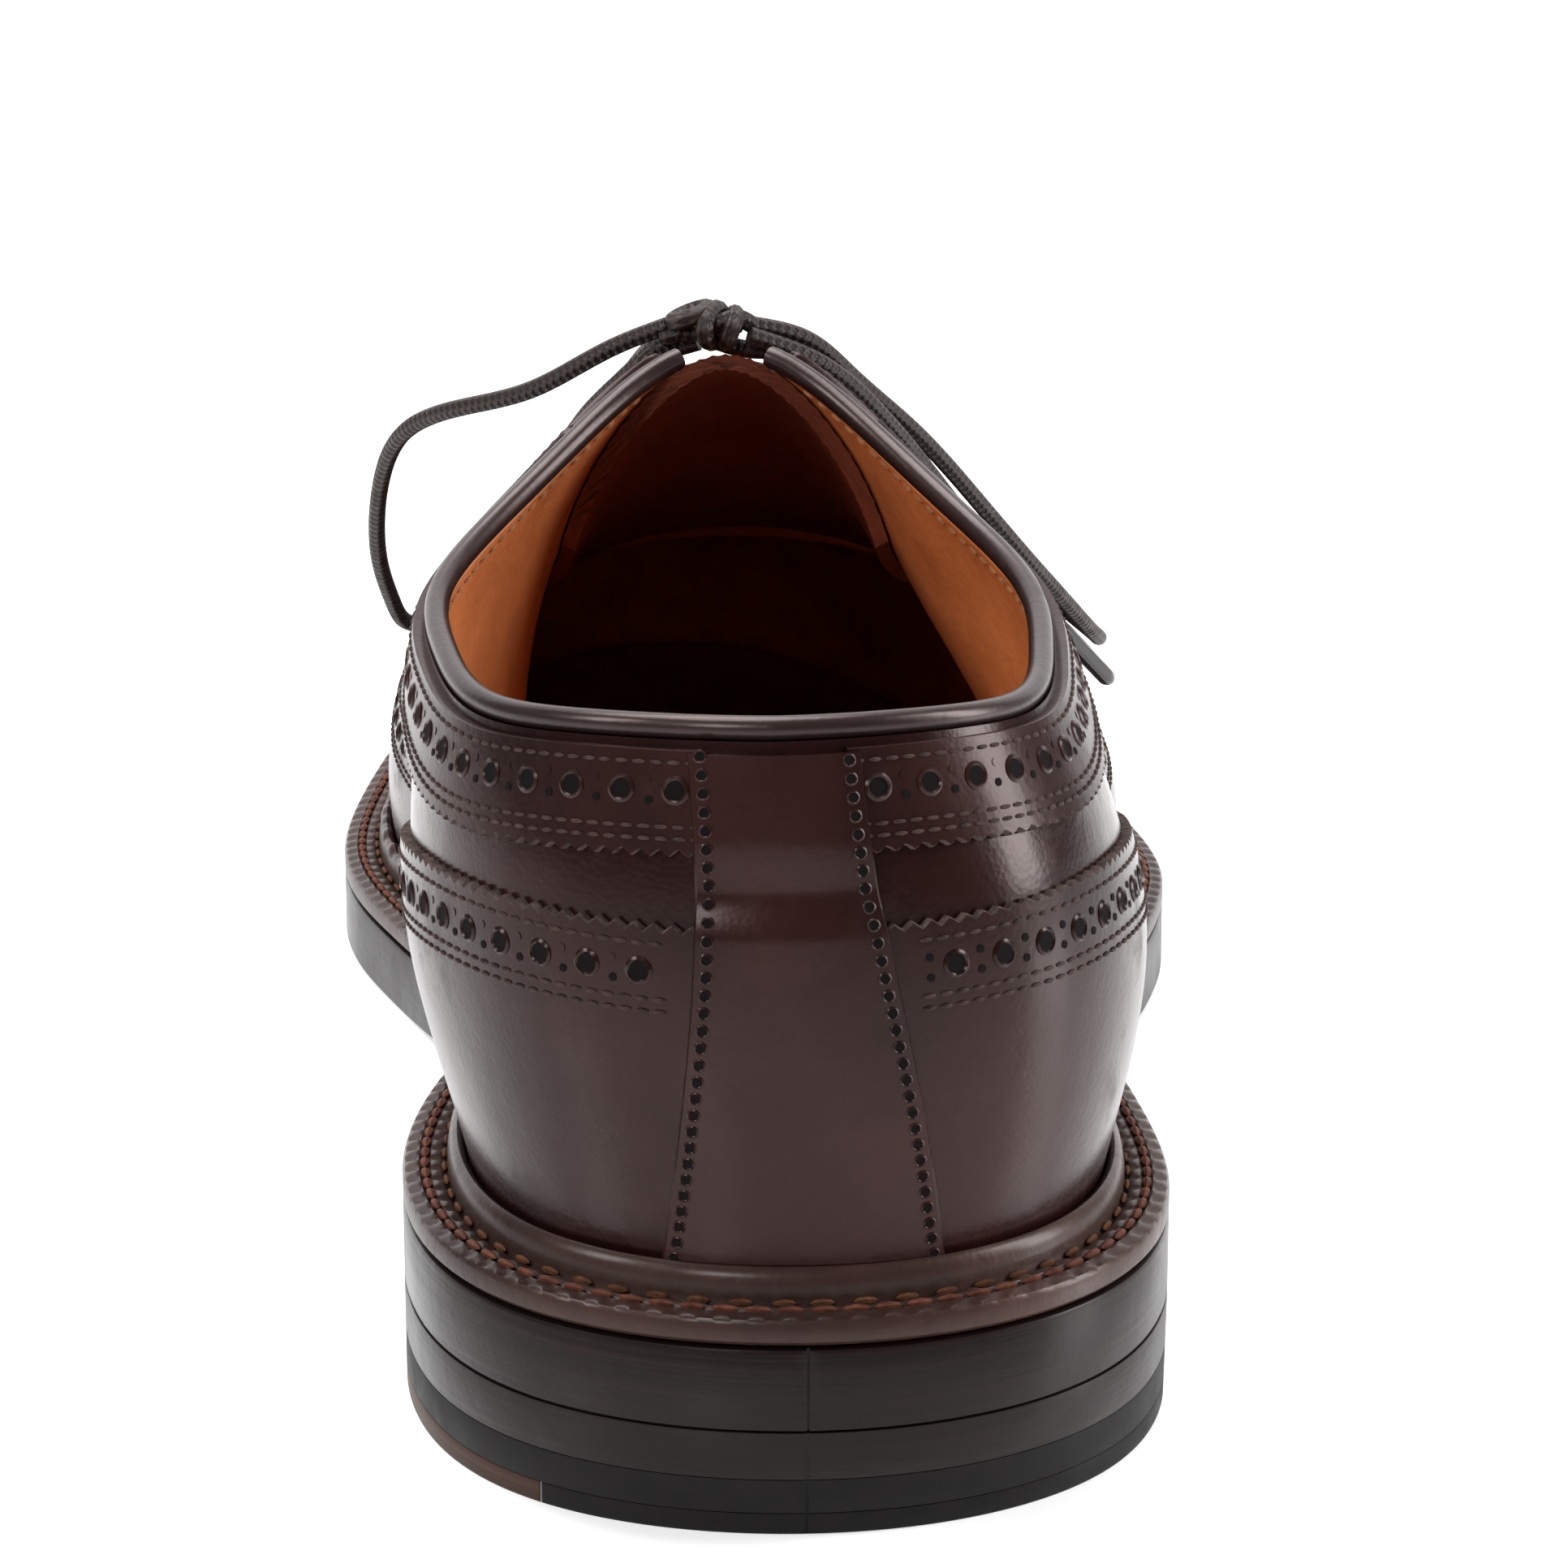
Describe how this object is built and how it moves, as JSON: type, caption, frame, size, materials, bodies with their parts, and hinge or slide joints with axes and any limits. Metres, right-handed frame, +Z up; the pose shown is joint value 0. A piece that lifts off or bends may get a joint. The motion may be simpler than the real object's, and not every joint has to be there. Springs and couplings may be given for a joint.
{
  "type": "longwing brogue shoe",
  "caption": "Lace-up leather dress shoe for the right foot with long wing overlays, storm welt and stacked heel, standing empty with its lace tied in a bow.",
  "frame": {"origin": "on the ground, under the middle of the sole's outline; the sole's length and greatest width are centred on it", "axes": "+Z up, +Y from the heel to the toe, +X to the lateral side of the right foot"},
  "size_m": [0.1166, 0.315, 0.1099],
  "materials": {
    "cordovan": "very dark burgundy-brown, polished to a wet gloss",
    "cordovan_overlay": "same leather, laid over and stitched",
    "binding_leather": "rolled topline binding, satin gloss",
    "welt_leather": "dyed and waxed, stitched",
    "sole_leather": "edge dyed near black and burnished",
    "heel_leather": "stacked lifts, dyed and burnished",
    "toplift_rubber": "black, matt",
    "corner_leather": "brown leather corner of the toplift, raw",
    "tongue_leather": "dark red-brown, unpolished",
    "insole_leather": "vegetable-tanned, tan",
    "waxed_lace": "round braided lace, waxed, dark brown",
    "aglet_plastic": "black film"
  },
  "bodies": {
    "root": {"heel_stack": "heel_leather", "heel_toplift": "toplift_rubber", "toplift_corner": "corner_leather", "outsole": "sole_leather", "welt": "welt_leather", "insole": "insole_leather", "upper": "cordovan", "back_strip": "cordovan_overlay", "facing_medial": "cordovan_overlay", "facing_lateral": "cordovan_overlay", "tongue": "tongue_leather", "topline_binding": "binding_leather", "lace_bar_1": "waxed_lace", "lace_bar_2": "waxed_lace", "lace_bar_3": "waxed_lace", "lace_bar_4": "waxed_lace", "lace_knot": "waxed_lace", "lace_loop_medial": "waxed_lace", "lace_loop_lateral": "waxed_lace", "lace_end_medial": "waxed_lace", "lace_end_lateral": "waxed_lace", "aglet_medial": "aglet_plastic", "aglet_lateral": "aglet_plastic"}
  },
  "joints": []
}
